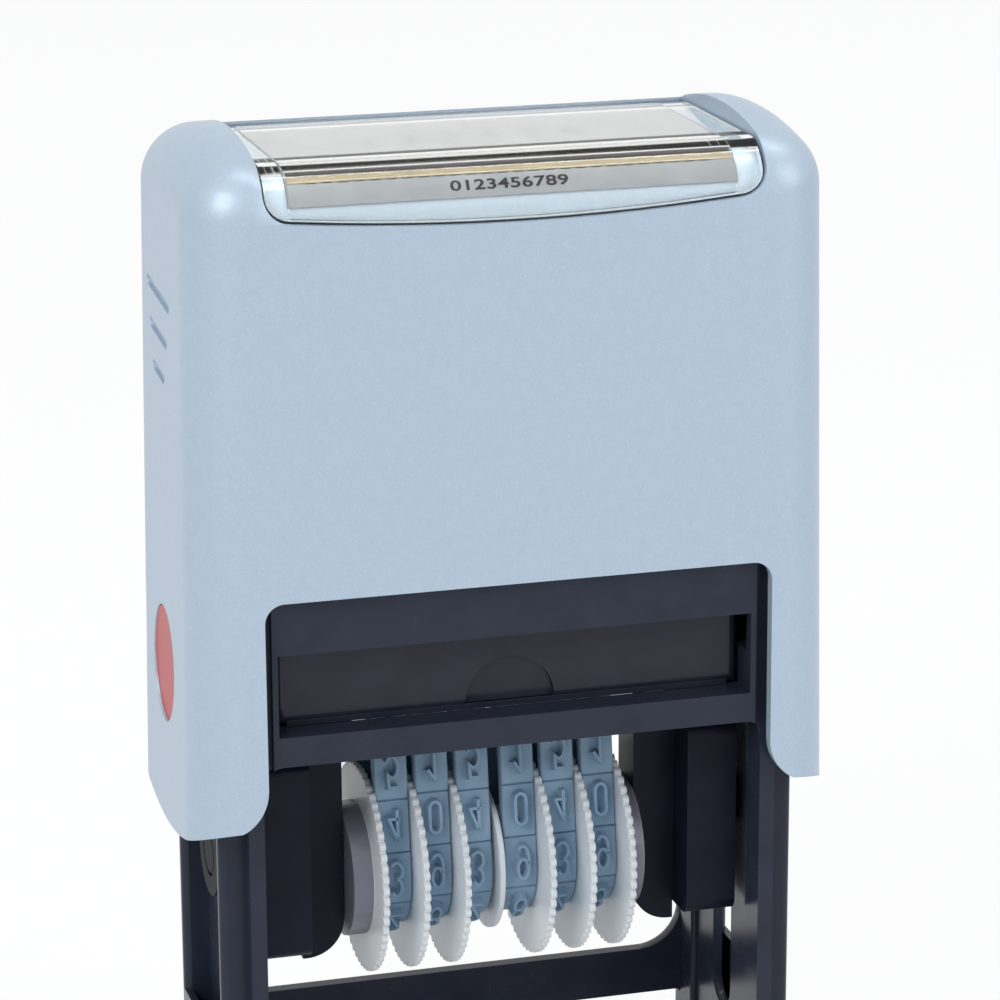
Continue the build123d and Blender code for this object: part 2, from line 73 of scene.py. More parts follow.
# Studio: a white table top that runs out to the horizon, a white room, and three soft boxes. Seen
# directly, mirrored or through clear plastic the white is plain, and the table keeps the shadow.
def plain_sight(tree):
    """Mask that is 1 where a surface is seen directly, mirrored, or through something clear."""
    path = tree.nodes.new("ShaderNodeLightPath")
    mirrored = tree.nodes.new("ShaderNodeMath")
    mirrored.operation = "MAXIMUM"
    tree.links.new(path.outputs["Is Camera Ray"], mirrored.inputs[0])
    tree.links.new(path.outputs["Is Glossy Ray"], mirrored.inputs[1])
    cleared = tree.nodes.new("ShaderNodeMath")
    cleared.operation = "MAXIMUM"
    tree.links.new(mirrored.outputs[0], cleared.inputs[0])
    tree.links.new(path.outputs["Is Transmission Ray"], cleared.inputs[1])
    return cleared.outputs[0]


table_size = 12.0
table_mesh = bpy.data.meshes.new("table_top")
table_shape = bmesh.new()
bmesh.ops.create_grid(table_shape, x_segments=8, y_segments=8, size=table_size / 2)
table_shape.to_mesh(table_mesh)
table_shape.free()
table_top = bpy.data.objects.new("table_top", table_mesh)
bpy.context.collection.objects.link(table_top)
table_paint = bpy.data.materials.new("table_paint")
table_paint.use_nodes = True
tree = table_paint.node_tree
tree.nodes.clear()
matte = tree.nodes.new("ShaderNodeBsdfDiffuse")
matte.inputs["Color"].default_value = (0.93, 0.93, 0.93, 1)
glow = tree.nodes.new("ShaderNodeEmission")
glow.inputs["Strength"].default_value = 1.04
plain_share = tree.nodes.new("ShaderNodeMath")
plain_share.operation = "MULTIPLY"
plain_share.inputs[1].default_value = 0.85
tree.links.new(plain_sight(tree), plain_share.inputs[0])
table_mix = tree.nodes.new("ShaderNodeMixShader")
tree.links.new(plain_share.outputs[0], table_mix.inputs[0])
tree.links.new(matte.outputs[0], table_mix.inputs[1])
tree.links.new(glow.outputs[0], table_mix.inputs[2])
table_output = tree.nodes.new("ShaderNodeOutputMaterial")
tree.links.new(table_mix.outputs[0], table_output.inputs["Surface"])
table_mesh.materials.append(table_paint)

room = bpy.data.worlds.new("white_room")
room.use_nodes = True
tree = room.node_tree
tree.nodes.clear()
room_light = tree.nodes.new("ShaderNodeBackground")
room_light.inputs["Color"].default_value = (0.93, 0.96, 1.0, 1)
room_light.inputs["Strength"].default_value = 0.42
room_white = tree.nodes.new("ShaderNodeBackground")
room_white.inputs["Color"].default_value = (1, 1, 1, 1)
room_white.inputs["Strength"].default_value = 1.0
room_mix = tree.nodes.new("ShaderNodeMixShader")
tree.links.new(plain_sight(tree), room_mix.inputs[0])
tree.links.new(room_light.outputs[0], room_mix.inputs[1])
tree.links.new(room_white.outputs[0], room_mix.inputs[2])
room_output = tree.nodes.new("ShaderNodeOutputWorld")
tree.links.new(room_mix.outputs[0], room_output.inputs["Surface"])
bpy.context.scene.world = room

aim = Vector((0, 0, 0.06))
soft_boxes = (
    ("key_box", (-0.62, -0.55, 0.62), 0.50, 0.50, 3.8),
    ("fill_box", (0.75, -0.75, 0.45), 0.60, 0.60, 2.6),
    ("strip_box", (0.25, -0.05, 1.00), 0.90, 0.04, 2.4),
)
for box_name, place, width, depth, power in soft_boxes:
    lamp = bpy.data.lights.new(box_name, "AREA")
    lamp.shape = "RECTANGLE"
    lamp.size = width
    lamp.size_y = depth
    lamp.energy = power
    soft_box = bpy.data.objects.new(box_name, lamp)
    soft_box.location = place
    soft_box.rotation_euler = (aim - Vector(place)).to_track_quat("-Z", "X").to_euler()
    bpy.context.collection.objects.link(soft_box)


# Base frame: one injection moulding in black plastic, satin from the tool's fine spark texture,
# with its edges slightly broken.
def group_socket(group, name, way, kind, value=None):
    """Adds a named socket to a node group."""
    socket = group.interface.new_socket(name=name, in_out=way, socket_type=kind)
    if value is not None:
        socket.default_value = value


def add_node(tree, kind, **values):
    """New shader node, with settings given by name."""
    node = tree.nodes.new(kind)
    for key, value in values.items():
        setattr(node, key, value)
    return node


def new_material(name):
    """New material, its node tree and its Principled shader."""
    made = bpy.data.materials.new(name)
    made.use_nodes = True
    return made, made.node_tree, made.node_tree.nodes["Principled BSDF"]


def cover(piece, *materials):
    """Gives a piece these materials in place of the ones it has."""
    piece.data.materials.clear()
    for material in materials:
        piece.data.materials.append(material)


def break_edges(piece, radius, segments=2):
    """Rounds a moulded piece's sharp edges by a small radius."""
    weld = piece.modifiers.new("weld", "WELD")
    weld.merge_threshold = 2e-6
    bevel = piece.modifiers.new("broken_edges", "BEVEL")
    bevel.width = radius
    bevel.segments = segments
    bevel.limit_method = "ANGLE"
    bevel.angle_limit = radians(40)
    bevel.harden_normals = True


spark_texture = bpy.data.node_groups.new("spark_texture", "ShaderNodeTree")
group_socket(spark_texture, "Grain", "INPUT", "NodeSocketFloat", 0.00012)
group_socket(spark_texture, "Depth", "INPUT", "NodeSocketFloat", 0.2)
group_socket(spark_texture, "Roughness", "INPUT", "NodeSocketFloat", 0.35)
group_socket(spark_texture, "Spread", "INPUT", "NodeSocketFloat", 0.08)
group_socket(spark_texture, "Roughness", "OUTPUT", "NodeSocketFloat")
group_socket(spark_texture, "Normal", "OUTPUT", "NodeSocketVector")
group_socket(spark_texture, "Mottle", "OUTPUT", "NodeSocketFloat")
tree = spark_texture
given = add_node(tree, "NodeGroupInput")
result = add_node(tree, "NodeGroupOutput")
place = add_node(tree, "ShaderNodeTexCoord")
per_grain = add_node(tree, "ShaderNodeMath", operation="DIVIDE")
per_grain.inputs[0].default_value = 1.0
tree.links.new(given.outputs["Grain"], per_grain.inputs[1])
grain = add_node(tree, "ShaderNodeTexNoise")
grain.inputs["Detail"].default_value = 2.0
tree.links.new(place.outputs["Object"], grain.inputs["Vector"])
tree.links.new(per_grain.outputs[0], grain.inputs["Scale"])
grain_bump = add_node(tree, "ShaderNodeBump")
grain_bump.inputs["Distance"].default_value = 0.00002
tree.links.new(given.outputs["Depth"], grain_bump.inputs["Strength"])
tree.links.new(grain.outputs["Fac"], grain_bump.inputs["Height"])
mottle = add_node(tree, "ShaderNodeTexNoise")
mottle.inputs["Scale"].default_value = 260.0
mottle.inputs["Detail"].default_value = 5.0
tree.links.new(place.outputs["Object"], mottle.inputs["Vector"])
centred = add_node(tree, "ShaderNodeMath", operation="SUBTRACT")
centred.inputs[1].default_value = 0.5
tree.links.new(mottle.outputs["Fac"], centred.inputs[0])
spread = add_node(tree, "ShaderNodeMath", operation="MULTIPLY_ADD")
tree.links.new(centred.outputs[0], spread.inputs[0])
tree.links.new(given.outputs["Spread"], spread.inputs[1])
tree.links.new(given.outputs["Roughness"], spread.inputs[2])
tree.links.new(spread.outputs[0], result.inputs["Roughness"])
tree.links.new(grain_bump.outputs["Normal"], result.inputs["Normal"])
tree.links.new(mottle.outputs["Fac"], result.inputs["Mottle"])


def texture_in(tree, shader, grain_size, depth, roughness, spread_by):
    """Places the spark texture in a material and links it to its shader. Returns its mottling."""
    texture = add_node(tree, "ShaderNodeGroup", node_tree=spark_texture)
    texture.inputs["Grain"].default_value = grain_size
    texture.inputs["Depth"].default_value = depth
    texture.inputs["Roughness"].default_value = roughness
    texture.inputs["Spread"].default_value = spread_by
    tree.links.new(texture.outputs["Roughness"], shader.inputs["Roughness"])
    tree.links.new(texture.outputs["Normal"], shader.inputs["Normal"])
    return texture.outputs["Mottle"]


def two_tone(tree, shader, mask, low_colour, high_colour, low=0.35, high=0.65):
    """Base colour that runs from one tone to another with a mask."""
    ramp = add_node(tree, "ShaderNodeValToRGB")
    ramp.color_ramp.elements[0].position = low
    ramp.color_ramp.elements[0].color = (*low_colour, 1)
    ramp.color_ramp.elements[1].position = high
    ramp.color_ramp.elements[1].color = (*high_colour, 1)
    tree.links.new(mask, ramp.inputs["Fac"])
    tree.links.new(ramp.outputs["Color"], shader.inputs["Base Color"])
    return ramp


black_plastic, tree, shader = new_material("black_plastic")
mask = texture_in(tree, shader, 0.00014, 0.20, 0.26, 0.10)
two_tone(tree, shader, mask, (0.021, 0.027, 0.045), (0.027, 0.033, 0.053))
shader.inputs["Specular IOR Level"].default_value = 0.22
cover(nodes["base_frame"], black_plastic)
break_edges(nodes["base_frame"], 0.25 * mm, 3)

# Pad tray: a black moulding like the frame, a shade glossier, with a half-round thumb recess. It
# clips into the bay by its own spring, and slides out to the front to be changed.
tray_plastic, tree, shader = new_material("tray_plastic")
mask = texture_in(tree, shader, 0.00018, 0.15, 0.18, 0.08)
two_tone(tree, shader, mask, (0.015, 0.017, 0.031), (0.019, 0.022, 0.037))
shader.inputs["Specular IOR Level"].default_value = 0.3
cover(nodes["pad_tray"], tray_plastic)
break_edges(nodes["pad_tray"], 0.25 * mm, 3)

# Tray lip: a low bar under the tray's front wall and one with it. It narrows the slit over the
# bay's floor, and it ends just short of the tray's corners.
tray_low, tray_high = (Vector(corner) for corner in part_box("pad_tray"))
lip_mesh = bpy.data.meshes.new("tray_lip")
lip_shape = bmesh.new()
bmesh.ops.create_cube(lip_shape, size=1.0)
lip_drop = 0.12 * mm
lip_root = 0.4 * mm
lip_thickness = 1.2 * mm
lip_setback = 0.1 * mm
lip_end_gap = 1.0 * mm
lip_size = Vector((tray_high.x - tray_low.x - 2 * lip_end_gap, lip_thickness, lip_root + lip_drop))
lip_middle = Vector((0, tray_low.y + lip_setback + lip_thickness / 2,
                     tray_low.z + lip_root - lip_size.z / 2))
bmesh.ops.transform(lip_shape, matrix=Matrix.Translation(lip_middle) @ Matrix.Diagonal((*lip_size, 1)),
                    verts=lip_shape.verts)
bmesh.ops.bevel(lip_shape, geom=lip_shape.edges[:], offset=0.03 * mm, segments=2, profile=0.5,
                affect="EDGES")
lip_shape.to_mesh(lip_mesh)
lip_shape.free()
tray_lip = bpy.data.objects.new("tray_lip", lip_mesh)
bpy.context.collection.objects.link(tray_lip)
cover(tray_lip, tray_plastic)
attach(tray_lip, "tray")

# Ink pad: a block of wool felt pressed into the tray and soaked with black ink. Its underside is
# softly crowned, with loose fibres, and the type meets it there.
pad_low, pad_high = (Vector(corner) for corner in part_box("ink_pad"))
pad_mesh = bpy.data.meshes.new("felt_pad")
pad_shape = bmesh.new()
bmesh.ops.create_cube(pad_shape, size=1.0)
pad_size = pad_high - pad_low
pad_middle = (pad_high + pad_low) / 2
pad_corner = 0.5 * mm
pad_crown = 0.25 * mm
bmesh.ops.transform(pad_shape, matrix=Matrix.Diagonal((*pad_size, 1)), verts=pad_shape.verts)
bmesh.ops.bevel(pad_shape, geom=pad_shape.edges[:], offset=pad_corner, segments=3, profile=0.5,
                affect="EDGES")
bmesh.ops.subdivide_edges(pad_shape, edges=pad_shape.edges[:], cuts=5, use_grid_fill=True)
for vertex in pad_shape.verts:
    inward_x = 1 - (2 * vertex.co.x / pad_size.x) ** 2
    inward_y = 1 - (2 * vertex.co.y / pad_size.y) ** 2
    if vertex.co.z < 0:
        vertex.co.z += pad_crown * (1 - inward_x * inward_y)
    vertex.co += pad_middle
pad_shape.to_mesh(pad_mesh)
pad_shape.free()
felt_pad = bpy.data.objects.new("felt_pad", pad_mesh)
bpy.context.collection.objects.link(felt_pad)
for face in pad_mesh.polygons:
    face.use_smooth = True
inked_felt, tree, shader = new_material("inked_felt")
mask = texture_in(tree, shader, 0.00030, 1.0, 0.85, 0.2)
two_tone(tree, shader, mask, (0.012, 0.012, 0.017), (0.030, 0.030, 0.042))
shader.inputs["Sheen Weight"].default_value = 0.3
cover(felt_pad, inked_felt)
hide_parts("ink_pad")
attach(felt_pad, "tray")

# Cap: a thin shell moulded in light grey plastic and lacquered in a pearl paint, whose fine mica
# flakes glint. The lacquer is satin.
pearl_flakes = bpy.data.node_groups.new("pearl_flakes", "ShaderNodeTree")
group_socket(pearl_flakes, "Paint", "INPUT", "NodeSocketColor", (0.5, 0.6, 0.7, 1))
group_socket(pearl_flakes, "Glint", "INPUT", "NodeSocketColor", (0.8, 0.85, 0.9, 1))
group_socket(pearl_flakes, "Flake", "INPUT", "NodeSocketFloat", 0.00009)
group_socket(pearl_flakes, "Tilt", "INPUT", "NodeSocketFloat", 0.07)
group_socket(pearl_flakes, "Colour", "OUTPUT", "NodeSocketColor")
group_socket(pearl_flakes, "Normal", "OUTPUT", "NodeSocketVector")
tree = pearl_flakes
given = add_node(tree, "NodeGroupInput")
result = add_node(tree, "NodeGroupOutput")
place = add_node(tree, "ShaderNodeTexCoord")
per_flake = add_node(tree, "ShaderNodeMath", operation="DIVIDE")
per_flake.inputs[0].default_value = 1.0
tree.links.new(given.outputs["Flake"], per_flake.inputs[1])
flakes = add_node(tree, "ShaderNodeTexVoronoi")
tree.links.new(place.outputs["Object"], flakes.inputs["Vector"])
tree.links.new(per_flake.outputs[0], flakes.inputs["Scale"])
chance = add_node(tree, "ShaderNodeSeparateColor")
tree.links.new(flakes.outputs["Color"], chance.inputs[0])
bright_few = add_node(tree, "ShaderNodeMapRange")
bright_few.inputs["From Min"].default_value = 0.86
bright_few.inputs["From Max"].default_value = 1.0
bright_few.inputs["To Max"].default_value = 0.26
tree.links.new(chance.outputs[0], bright_few.inputs["Value"])
clouds = add_node(tree, "ShaderNodeTexNoise")
clouds.inputs["Scale"].default_value = 900.0
clouds.inputs["Detail"].default_value = 4.0
tree.links.new(place.outputs["Object"], clouds.inputs["Vector"])
cloud_mix = add_node(tree, "ShaderNodeMapRange")
cloud_mix.inputs["To Min"].default_value = -0.06
cloud_mix.inputs["To Max"].default_value = 0.10
tree.links.new(clouds.outputs["Fac"], cloud_mix.inputs["Value"])
share = add_node(tree, "ShaderNodeMath", operation="ADD", use_clamp=True)
tree.links.new(bright_few.outputs[0], share.inputs[0])
tree.links.new(cloud_mix.outputs[0], share.inputs[1])
blend = add_node(tree, "ShaderNodeMix", data_type="RGBA")
tree.links.new(share.outputs[0], blend.inputs["Factor"])
tree.links.new(given.outputs["Paint"], blend.inputs[6])
tree.links.new(given.outputs["Glint"], blend.inputs[7])
tree.links.new(blend.outputs[2], result.inputs["Colour"])
lean = add_node(tree, "ShaderNodeVectorMath", operation="SUBTRACT")
tree.links.new(flakes.outputs["Color"], lean.inputs[0])
lean.inputs[1].default_value = (0.5, 0.5, 0.5)
lean_by = add_node(tree, "ShaderNodeVectorMath", operation="SCALE")
tree.links.new(lean.outputs[0], lean_by.inputs[0])
tree.links.new(given.outputs["Tilt"], lean_by.inputs["Scale"])
surface = add_node(tree, "ShaderNodeNewGeometry")
leaning = add_node(tree, "ShaderNodeVectorMath", operation="ADD")
tree.links.new(surface.outputs["Normal"], leaning.inputs[0])
tree.links.new(lean_by.outputs[0], leaning.inputs[1])
unit = add_node(tree, "ShaderNodeVectorMath", operation="NORMALIZE")
tree.links.new(leaning.outputs[0], unit.inputs[0])
tree.links.new(unit.outputs[0], result.inputs["Normal"])

pearl_lacquer, tree, shader = new_material("pearl_lacquer")
flake_coat = add_node(tree, "ShaderNodeGroup", node_tree=pearl_flakes)
flake_coat.inputs["Paint"].default_value = (0.440, 0.548, 0.664, 1)
flake_coat.inputs["Glint"].default_value = (0.74, 0.82, 0.90, 1)
tree.links.new(flake_coat.outputs["Colour"], shader.inputs["Base Color"])
tree.links.new(flake_coat.outputs["Normal"], shader.inputs["Normal"])
shader.inputs["Metallic"].default_value = 0.25
shader.inputs["Roughness"].default_value = 0.42
shader.inputs["Coat Weight"].default_value = 0.12
shader.inputs["Coat Roughness"].default_value = 0.22
cover(nodes["cap"], pearl_lacquer)
break_edges(nodes["cap"], 0.18 * mm)
even_shading = nodes["cap"].modifiers.new("even_shading", "WEIGHTED_NORMAL")
even_shading.mode = "FACE_AREA"
even_shading.weight = 80
even_shading.keep_sharp = True

# Side inlays: two plain ovals of red plastic pressed into the cap's sides, slightly sunk.
inlay_red, tree, shader = new_material("inlay_red")
mask = texture_in(tree, shader, 0.00020, 0.15, 0.32, 0.10)
two_tone(tree, shader, mask, (0.44, 0.008, 0.012), (0.52, 0.012, 0.016))
shader.inputs["Specular IOR Level"].default_value = 0.3
for name in ("side_inlay_left", "side_inlay_right"):
    cover(nodes[name], inlay_red)
    break_edges(nodes[name], 0.12 * mm)

# Index card: white card cut to slip under the window, folded over the cap's front edge. It has two
# rows of numerals, a cream border at the fold, a dark band there that is painted shadow of the
# window's ridge, and a dashed line to cut along.
cap_top = 98.2 * mm
arch_radius = 38.6 * mm
edge_radius = 4.9 * mm
shoulder = 12.933 * mm
window_inset = 0.35 * mm
window_sink = 1.55 * mm
window_top = cap_top - window_sink
arch_centre = cap_top - arch_radius
edge_y = shoulder - edge_radius
edge_z = arch_centre + sqrt((arch_radius - edge_radius) ** 2 - edge_y ** 2)
fold_angle = asin(edge_y / (arch_radius - edge_radius))
arch_length = arch_radius * fold_angle
edge_length = edge_radius * (pi / 2 - fold_angle)


def over_cap(along, depth):
    """Point (y, z) of the window's section, a length forward of the cap's middle and a depth under
    its surface. It is flat on top. A negative length runs to the rear."""
    way = -1 if along >= 0 else 1
    reach = abs(along)
    if reach < arch_length:
        turn = reach / arch_radius
        y, z = (arch_radius - depth) * sin(turn), arch_centre + (arch_radius - depth) * cos(turn)
    elif reach < arch_length + edge_length:
        turn = fold_angle + (reach - arch_length) / edge_radius
        y, z = edge_y + (edge_radius - depth) * sin(turn), edge_z + (edge_radius - depth) * cos(turn)
    else:
        y, z = shoulder - depth, edge_z - (reach - arch_length - edge_length)
    return way * y, min(z, window_top + window_inset - depth)


def ridge_at(depth):
    """Length at which the flat top ends and the rounded front starts."""
    turn = acos((window_top + window_inset - depth - edge_z) / (edge_radius - depth))
    return arch_length + (turn - fold_angle) * edge_radius


def sheet_on_cap(name, low_x, high_x, stations, outer, inner):
    """Thin sheet that follows the window's section through some lengths, between two depths."""
    mesh = bpy.data.meshes.new(name)
    shape = bmesh.new()
    rows = []
    for along in stations:
        outer_y, outer_z = over_cap(along, outer)
        inner_y, inner_z = over_cap(along, inner)
        rows.append([shape.verts.new(corner) for corner in (
            (low_x, outer_y, outer_z), (high_x, outer_y, outer_z),
            (high_x, inner_y, inner_z), (low_x, inner_y, inner_z))])
    for last, row in zip(rows, rows[1:]):
        for side in range(4):
            shape.faces.new((last[side], last[side - 1], row[side - 1], row[side]))
    shape.faces.new(rows[0])
    shape.faces.new(rows[-1][::-1])
    bmesh.ops.recalc_face_normals(shape, faces=shape.faces)
    for face in shape.faces:
        face.smooth = True
    shape.to_mesh(mesh)
    shape.free()
    mesh.set_sharp_from_angle(angle=radians(25))
    piece = bpy.data.objects.new(name, mesh)
    bpy.context.collection.objects.link(piece)
    return piece


card_low, card_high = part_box("index_card")
card_outer = 1.38 * mm
card_inner = 1.62 * mm
card_front = 14.45 * mm
card_rear = -10.3 * mm
card_fold = ridge_at(card_outer)
flat_steps = 8
front_steps = 24
card_stations = [card_rear, -card_fold]
card_stations += [-card_fold + 2 * card_fold * step / flat_steps for step in range(1, flat_steps + 1)]
card_stations += [card_fold + (card_front - card_fold) * step / front_steps
                  for step in range(1, front_steps + 1)]
card_sheet = sheet_on_cap("card_sheet", card_low[0], card_high[0], card_stations,
                          card_outer, card_inner)
white_card, tree, shader = new_material("white_card")
mask = texture_in(tree, shader, 0.00025, 0.12, 0.62, 0.1)
two_tone(tree, shader, mask, (0.24, 0.26, 0.285), (0.265, 0.285, 0.31))
shader.inputs["Specular IOR Level"].default_value = 0.2
cover(card_sheet, white_card)
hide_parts("index_card")
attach(card_sheet, "cap_group")


def flat_text(name, words, width, height, spacing, weight):
    """Mesh of a line of numerals, centred at the origin and as wide and tall as given."""
    line = bpy.data.curves.new(name, "FONT")
    line.body = words
    line.space_character = spacing
    line.offset = weight
    written = bpy.data.objects.new(name, line)
    bpy.context.collection.objects.link(written)
    depsgraph = bpy.context.evaluated_depsgraph_get()
    mesh = bpy.data.meshes.new_from_object(written.evaluated_get(depsgraph))
    bpy.data.objects.remove(written)
    bpy.data.curves.remove(line)
    low_u = min(vertex.co.x for vertex in mesh.vertices)
    high_u = max(vertex.co.x for vertex in mesh.vertices)
    low_v = min(vertex.co.y for vertex in mesh.vertices)
    high_v = max(vertex.co.y for vertex in mesh.vertices)
    for vertex in mesh.vertices:
        vertex.co = ((vertex.co.x - (low_u + high_u) / 2) * width / (high_u - low_u),
                     (vertex.co.y - (low_v + high_v) / 2) * height / (high_v - low_v), 0)
    mesh.name = name
    return mesh


film_height = 0.03 * mm
film_step = 0.15 * mm


def print_on_card(name, mesh, across, along, ink):
    """Lays a flat mesh on the card as a thin film of ink, with its middle at a length along it."""
    film = bmesh.new()
    film.from_mesh(mesh)
    reach = max(vertex.co.y for vertex in film.verts)
    cuts = max(1, int(2 * reach / film_step))
    levels = [reach * (2 * cut / (cuts + 1) - 1) for cut in range(1, cuts + 1)]
    for level in levels + [along - card_fold]:
        bmesh.ops.bisect_plane(film, geom=film.verts[:] + film.edges[:] + film.faces[:],
                               plane_co=(0, level, 0), plane_no=(0, 1, 0))
    for vertex in film.verts:
        y, z = over_cap(along - vertex.co.y, card_outer - film_height)
        vertex.co = (across + vertex.co.x, y, z)
    film.to_mesh(mesh)
    film.free()
    piece = bpy.data.objects.new(name, mesh)
    bpy.context.collection.objects.link(piece)
    cover(piece, ink)
    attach(piece, "cap_group")


def bar_mesh(name, bars):
    """Flat mesh of upright rectangles, each given by its low and high corner."""
    mesh = bpy.data.meshes.new(name)
    shape = bmesh.new()
    for (low_u, low_v), (high_u, high_v) in bars:
        corners = ((low_u, low_v), (high_u, low_v), (high_u, high_v), (low_u, high_v))
        shape.faces.new([shape.verts.new((u, v, 0)) for u, v in corners])
    shape.to_mesh(mesh)
    shape.free()
    return mesh


def printing_ink(name, low_colour, high_colour):
    """Matte ink, a little uneven."""
    ink, tree, shader = new_material(name)
    mask = texture_in(tree, shader, 0.00010, 0.1, 0.5, 0.1)
    two_tone(tree, shader, mask, low_colour, high_colour)
    shader.inputs["Specular IOR Level"].default_value = 0.2
    return ink


black_print = printing_ink("black_print", (0.010, 0.009, 0.010), (0.020, 0.018, 0.020))
grey_print = printing_ink("grey_print", (0.14, 0.155, 0.17), (0.17, 0.185, 0.20))
cream_print = printing_ink("cream_print", (0.27, 0.235, 0.155), (0.31, 0.27, 0.185))
printed_lines = (
    ("card_numerals", "0123456789", 10.2 * mm, 1.25 * mm, 1.05, 0.022, -0.5 * mm, 13.05 * mm, black_print),
    ("card_sample", "123456", 18.9 * mm, 4.0 * mm, 2.0, 0.015, -0.6 * mm, 0.3 * mm, grey_print),
)
for name, words, width, height, spacing, weight, across, along, ink in printed_lines:
    print_on_card(name, flat_text(name, words, width, height, spacing, weight), across, along, ink)
bar_reach = 19.2 * mm
printed_bars = (
    # The dark band at the fold is painted shadow that the window's ridge casts on the card.
    ("painted_fold_shadow", 0.60 * mm, card_fold + 0.25 * mm, black_print),
    ("card_cream", 0.45 * mm, card_fold + 1.35 * mm, cream_print),
)
for name, half, along, ink in printed_bars:
    print_on_card(name, bar_mesh(name, [((-bar_reach, -half), (bar_reach, half))]), 0.0, along, ink)
dash_pitch = 1.36 * mm
dash_length = 0.92 * mm
dash_half = 0.06 * mm
dash_line = 11.75 * mm
dash_count = 26
dashes = []
for step in range(dash_count):
    start = (step - dash_count / 2) * dash_pitch
    dashes.append(((start, -dash_half), (start + dash_length, dash_half)))
print_on_card("card_dashes", bar_mesh("card_dashes", dashes), 0.0, dash_line, black_print)

# Index window: a clear polystyrene cover snapped over the card, flat on top and rounded at the
# front, with thick ends and a lower edge that sags.
rim_line_width = 0.10 * mm
window_corner = 2.25 * mm
window_bow = 0.9 * mm
window_foot = 15.79 * mm
window_back = -10.3 * mm
window_top_steps = 6
window_front_steps = 14
end_thickness = 1.6 * mm
glass_inner = 1.31 * mm
corner_start = 0.05 * mm
half_steps = 12
straight_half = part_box("index_window")[1][0] - window_corner


def window_edge(across, inward):
    """Length at which the window's lower edge lies, with its outline moved in by some width."""
    reach = abs(across)
    if reach <= straight_half:
        return window_foot - inward + window_bow * (1 - (reach / straight_half) ** 2)
    corner = window_corner - inward
    return window_foot - window_corner + sqrt(max(corner ** 2 - (reach - straight_half) ** 2, 0))


def window_columns(inward):
    """Places across the window, closer together round its lower corners."""
    corner = window_corner - inward
    right = [straight_half + corner_start]
    right += [straight_half + corner * sin(radians(angle)) for angle in range(15, 91, 15)]
    middle = [straight_half * (step / half_steps - 1) for step in range(2 * half_steps + 1)]
    return [-across for across in right[::-1]] + middle + right


def window_grid(shape, inward, depth_at):
    """Grid of vertices over the window at a depth, by column and row."""
    grid = []
    for across in window_columns(inward):
        depth = depth_at(across)
        fold = ridge_at(depth)
        foot = window_edge(across, inward)
        stations = [window_back]
        stations += [-fold + 2 * fold * step / window_top_steps for step in range(window_top_steps + 1)]
        stations += [fold + (foot - fold) * step / window_front_steps
                     for step in range(1, window_front_steps + 1)]
        column = []
        for along in stations:
            y, z = over_cap(along, depth)
            column.append(shape.verts.new((across, y, z)))
        grid.append(column)
    return grid


def grid_rim(grid):
    """Vertices round a grid, in order."""
    rim = [column[0] for column in grid] + grid[-1][1:]
    return rim + [column[-1] for column in grid[-2::-1]] + grid[0][-2:0:-1]


def skin(shape, grid):
    """Faces between neighbouring columns and rows."""
    for last, column in zip(grid, grid[1:]):
        for row in range(len(column) - 1):
            shape.faces.new((last[row], last[row + 1], column[row + 1], column[row]))


def join_rims(shape, first, second):
    """Wall of faces between two rims."""
    for index in range(len(first)):
        shape.faces.new((first[index - 1], first[index], second[index], second[index - 1]))


def finish_piece(name, shape, sharp):
    """Object from a mesh that is smooth but for its sharp edges."""
    bmesh.ops.recalc_face_normals(shape, faces=shape.faces)
    for face in shape.faces:
        face.smooth = True
    mesh = bpy.data.meshes.new(name)
    shape.to_mesh(mesh)
    shape.free()
    mesh.set_sharp_from_angle(angle=radians(sharp))
    piece = bpy.data.objects.new(name, mesh)
    bpy.context.collection.objects.link(piece)
    return piece


shape = bmesh.new()
outer_grid = window_grid(shape, rim_line_width, lambda across: window_inset)
inner_grid = window_grid(
    shape, rim_line_width, lambda across: end_thickness if abs(across) > straight_half else glass_inner)
skin(shape, outer_grid)
skin(shape, inner_grid)
join_rims(shape, grid_rim(outer_grid), grid_rim(inner_grid))
clear_cover = finish_piece("clear_cover", shape, 25)
clear_plastic, tree, shader = new_material("clear_plastic")
texture_in(tree, shader, 0.0012, 0.015, 0.03, 0.02)
shader.inputs["Base Color"].default_value = (0.985, 0.98, 0.955, 1)
shader.inputs["Transmission Weight"].default_value = 1.0
shader.inputs["IOR"].default_value = 1.3
shader.inputs["Specular IOR Level"].default_value = 0.25
light_path = add_node(tree, "ShaderNodeLightPath")
let_through = add_node(tree, "ShaderNodeBsdfTransparent")
let_through.inputs["Color"].default_value = (0.95, 0.95, 0.93, 1)
lit_through = add_node(tree, "ShaderNodeMixShader")
tree.links.new(light_path.outputs["Is Shadow Ray"], lit_through.inputs[0])
tree.links.new(shader.outputs[0], lit_through.inputs[1])
tree.links.new(let_through.outputs[0], lit_through.inputs[2])
tree.links.new(lit_through.outputs[0], tree.nodes["Material Output"].inputs["Surface"])
cover(clear_cover, clear_plastic)
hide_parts("index_window")
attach(clear_cover, "cap_group")


# Window rim: a thin dark line in the gap round the window, painted shade of the clear window's
# edges. It is darkest at the window's ends and runs to a pale olive tone along its middle.
def from_middle(tree):
    """Distance to either side of the stamp's middle."""
    place = add_node(tree, "ShaderNodeTexCoord")
    place_parts = add_node(tree, "ShaderNodeSeparateXYZ")
    tree.links.new(place.outputs["Object"], place_parts.inputs[0])
    distance = add_node(tree, "ShaderNodeMath", operation="ABSOLUTE")
    tree.links.new(place_parts.outputs["X"], distance.inputs[0])
    return distance.outputs[0]


